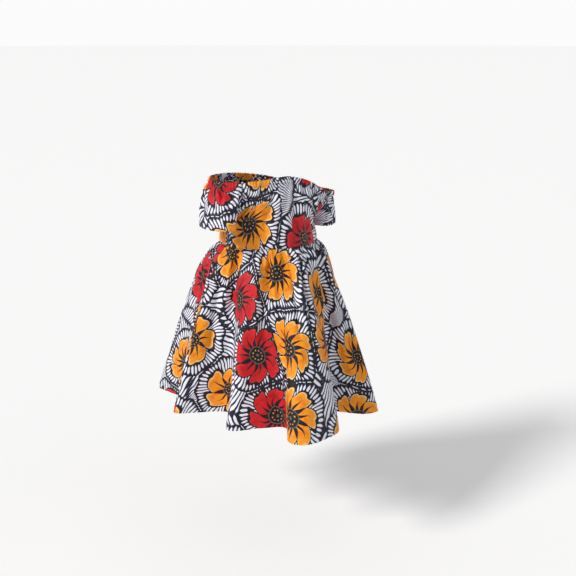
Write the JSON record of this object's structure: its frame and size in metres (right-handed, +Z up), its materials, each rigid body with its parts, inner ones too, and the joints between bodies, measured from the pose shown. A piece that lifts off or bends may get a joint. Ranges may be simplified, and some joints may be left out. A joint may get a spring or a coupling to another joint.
{
  "type": "toddler's off-the-shoulder wax print dress",
  "caption": "Worn, hollow off-the-shoulder cotton dress with an elastic neckline, short raglan sleeves and a full flared skirt in uneven folds.",
  "frame": {"origin": "middle of the worn neckline ring, where the elastic holds the dress on the wearer's upper arms and chest", "axes": "+Z up, the wearer faces -Y, and the wearer's left is +X"},
  "size_m": [0.3731, 0.4115, 0.4146],
  "materials": {
    "bodice_cloth": "crisp printed cotton with a slight waxed sheen",
    "sleeve_cloth": "crisp printed cotton with a slight waxed sheen",
    "skirt_cloth": "crisp printed cotton with a slight waxed sheen"
  },
  "bodies": {
    "root": {"bodice_front": "bodice_cloth", "bodice_back": "bodice_cloth", "sleeve_right": "sleeve_cloth", "sleeve_left": "sleeve_cloth", "skirt_front": "skirt_cloth", "skirt_back": "skirt_cloth"}
  },
  "joints": []
}
